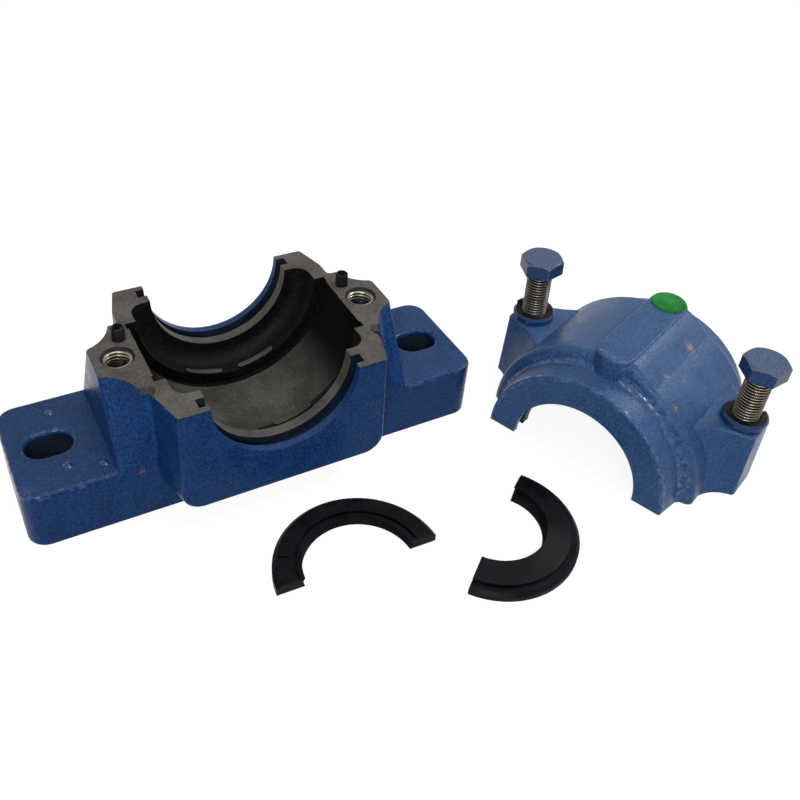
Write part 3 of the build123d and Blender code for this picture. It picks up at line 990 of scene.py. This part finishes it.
def tapped_sleeve(name, x):
    """The thread of one tapped hole, as a closed sleeve."""
    mesh = bmesh.new()
    floor = -sleeve_depth - sleeve_mouth
    rings = thread_grid(mesh, sleeve_depth, start=floor)
    for lower, upper in zip(rings, rings[1:]):
        bridge(mesh, lower, upper, inward=True)
    low_wall = flat_ring(mesh, sleeve_wall, floor, turn_steps)
    high_wall = flat_ring(mesh, sleeve_wall, -sleeve_mouth, turn_steps)
    bridge(mesh, low_wall, high_wall)
    bridge(mesh, rings[-1], high_wall, smooth=False, inward=True)
    bridge(mesh, rings[0], low_wall, smooth=False)
    sleeve = to_object(mesh, name, tapped_finish)
    paint_values(sleeve.data, "root", hole_grease_and_depth_shade)
    sleeve.location = (x, 0, split_height)
    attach(sleeve, "housing")
    return sleeve


for side, sign in (("left", -1), ("right", 1)):
    sleeve = tapped_sleeve("tapped_thread_" + side, sign * bolt_offset)
    print(sleeve.name, len(sleeve.data.polygons), "faces")

# %% [markdown]
# ## Cast pips
# Three small hollows in the sand mould left low pips on one foot, and the paint pools round
# them. A bump would not show from the side, so each is a small uneven mound: rings that fall
# off like a bell, pushed a little out of round. Places and reaches are in millimetres.

# %% Pips
pips = [(-109.3, 24.2, 2.3), (-109.5, -20.5, 2.6), (-91.6, -26.6, 2.3)]
pip_steps = 24
pip_height = 0.55
pip_sunk = 0.02


def pip(name, x, y, reach):
    """A mound at x, y whose height follows its reach."""
    mesh = bmesh.new()
    rings = []
    for share in (1.0, 0.82, 0.62, 0.42, 0.22):
        rise = pip_height * (math.cos(math.pi * share) + 1) / 2 * reach - pip_sunk
        ring = []
        for step in range(pip_steps):
            angle = 2 * math.pi * step / pip_steps
            uneven = 1 + 0.12 * math.sin(2 * angle + x) + 0.06 * math.sin(3 * angle + y)
            away = share * reach * uneven
            spot = (away * math.cos(angle) * mm, away * math.sin(angle) * mm, rise * mm)
            ring.append(mesh.verts.new(spot))
        rings.append(ring)
    for outer, inner in zip(rings, rings[1:]):
        bridge(mesh, outer, inner)
    mesh.faces.new(rings[-1]).smooth = True
    made = to_object(mesh, name, pooled_paint)
    made.location = (x * mm, y * mm, foot_top)
    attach(made, "housing")
    return made


for number, (x, y, reach) in enumerate(pips, 1):
    mound = pip("cast_pip_" + str(number), x, y, reach)
    print(mound.name, "at", x, y)

# %% [markdown]
# ## Small parts
# The spring washers were painted with the housing but keep dark steel inside, the spring
# pins are blackened, the plug is a bright green plastic and the seals are black rubber with
# a satin bloom. All are dielectrics at their surface, so one recipe serves them with its own
# two tones, gloss and fine grain.


# %% Small part finishes
def small_finish(name, dark, light, gloss, grain_scale, depth, shine_level=0.06):
    """A dielectric between two tones, mottled in a fine grain and a broad cloud."""
    made, tree = material(name)
    grain = use(tree, mottled, Fine_Scale=grain_scale)
    colour = blend_colour(tree, grain["Share"], dark, light)
    shine = steps(tree, grain["Cloud"], 0.3, 0.7, gloss, gloss + 0.12)
    normal = bump(tree, grain["Fine"], depth)
    shading = {"Base_Color": colour, "Roughness": shine, "Normal": normal}
    finish(tree, Specular_IOR_Level=shine_level, **shading)
    return made


washer_blues = (rgb(0.005, 0.026, 0.11), rgb(0.018, 0.058, 0.17))
washer_browns = (rgb(0.003, 0.0025, 0.0025), rgb(0.030, 0.022, 0.019))
pin_blacks = (rgb(0.006, 0.006, 0.007), rgb(0.022, 0.021, 0.021))
plug_greens = (rgb(0.006, 0.13, 0.022), rgb(0.032, 0.265, 0.055))
seal_blacks = (rgb(0.0010, 0.0010, 0.0020), rgb(0.0060, 0.0056, 0.0080))
washer_paint = small_finish("washer_paint", *washer_blues, 0.12, 500.0, 0.08 * mm, 0.2)
bare_washer = small_finish("bare_washer", *washer_browns, 0.5, 600.0, 0.08 * mm)
black_steel = small_finish("black_steel", *pin_blacks, 0.35, 900.0, 0.04 * mm)
green_plastic = small_finish("green_plastic", *plug_greens, 0.40, 700.0, 0.12 * mm)
rubber = small_finish("seal_rubber", *seal_blacks, 0.36, 700.0, 0.10 * mm)
print("small finishes:", washer_paint.name, black_steel.name, green_plastic.name, rubber.name)

# %% [markdown]
# A washer's outer wall and its sloping outer rim are painted, and its top and bore are not.
# Its faces are sorted by which way they face and how far out they lie.

# %% Dress the small parts
washer_slope_from = 11.0 * mm
washer_wall_from = 12.0 * mm


def dress(node, *finishes):
    nodes[node].data.materials.clear()
    for one in finishes:
        nodes[node].data.materials.append(one)


for side in ("left", "right"):
    dress("dowel_pin_" + side, black_steel)
    dress("spring_washer_" + side, washer_paint, bare_washer)
    low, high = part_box("spring_washer_" + side)
    middle = (low + high) / 2
    for face in nodes["spring_washer_" + side].data.polygons:
        spoke = (face.center - middle).xy
        outward = face.normal.xy.dot(spoke) > 0
        sloped = 0.3 < face.normal.z < 0.95 and spoke.length > washer_slope_from
        on_wall = face.normal.z < 0.3 and outward and spoke.length > washer_wall_from
        face.material_index = 0 if sloped or on_wall else 1
dress("grease_plug", green_plastic)
dress("half_seal_flat_side_up", rubber)
dress("half_seal_lip_side_up", rubber)
print("small parts dressed")

# %% [markdown]
# ## Bench
# The bench is pale and plain. Its own colour takes the soft shadows, and a little light of
# its own, only where the camera or a reflection looks at it, lifts it to clean white. The
# world does the same beyond the bench's edge, and is dim as a light.

# %% Bench
bench_glow = 0.87
world_light = 0.13


def seen_directly(tree):
    """1 where the camera, a reflection or glass looks at the surface, else 0."""
    path = add(tree, "ShaderNodeLightPath").outputs
    mirrored = maths(tree, "MAXIMUM", path["Is Glossy Ray"], path["Is Transmission Ray"])
    return maths(tree, "MAXIMUM", path["Is Camera Ray"], mirrored)


def white_bench():
    made, tree = material("white_bench")
    glow = maths(tree, "MULTIPLY", seen_directly(tree), bench_glow)
    white = {"Emission_Color": rgb(1, 1, 1), "Emission_Strength": glow}
    finish(tree, Base_Color=rgb(0.22, 0.22, 0.22), Roughness=0.9, **white)
    return made


bench_mesh = bmesh.new()
bmesh.ops.create_grid(bench_mesh, x_segments=1, y_segments=1, size=6.0)
bench = to_object(bench_mesh, "bench", white_bench())
bench.location.z = -0.02 * mm

world = bpy.data.worlds.new("studio")
bpy.context.scene.world = world
world.use_nodes = True
sky = world.node_tree
sky.nodes.clear()
level = steps(sky, seen_directly(sky), 0.0, 1.0, world_light, 1.0)
shine = add(sky, "ShaderNodeBackground", Color=rgb(1, 1, 1), Strength=level)
target = sky.nodes.new("ShaderNodeOutputWorld")
sky.links.new(shine.outputs[0], target.inputs["Surface"])
print("bench:", bench.name, "world:", world.name)

# %% [markdown]
# ## Light
# One lamp stands near, high at the right, like a small window, so that the shading falls off
# to the left. Two wide lamps soften it from above and from the front left. A small bulb at
# the front left adds little light but draws glints along wet-looking edges. All four aim at
# the middle of the set. Places and sizes are in metres, and powers in watts.

# %% Lamps
middle_of_set = Vector((0.1, -0.05, 0.04))


def area_lamp(name, place, size, power):
    """A rectangular lamp that faces the middle of the set."""
    data = bpy.data.lights.new(name, "AREA")
    data.shape = "RECTANGLE"
    data.size, data.size_y = size
    data.energy = power
    lamp = bpy.data.objects.new(name, data)
    lamp.location = place
    lamp.rotation_mode = "QUATERNION"
    lamp.rotation_quaternion = (middle_of_set - Vector(place)).to_track_quat("-Z", "Y")
    bpy.context.scene.collection.objects.link(lamp)


area_lamp("window", (0.98, -0.12, 0.85), (0.40, 0.40), 5.8)
area_lamp("ceiling", (0.2, -0.1, 2.2), (1.4, 1.4), 16.0)
area_lamp("front_fill", (-0.42, -1.0, 0.75), (0.6, 0.5), 5.6)
area_lamp("bare_bulb", (-0.45, -0.72, 0.62), (0.05, 0.05), 2.4)
bpy.context.scene.view_settings.view_transform = "Standard"
print("lamps:", [light.name for light in bpy.data.lights])
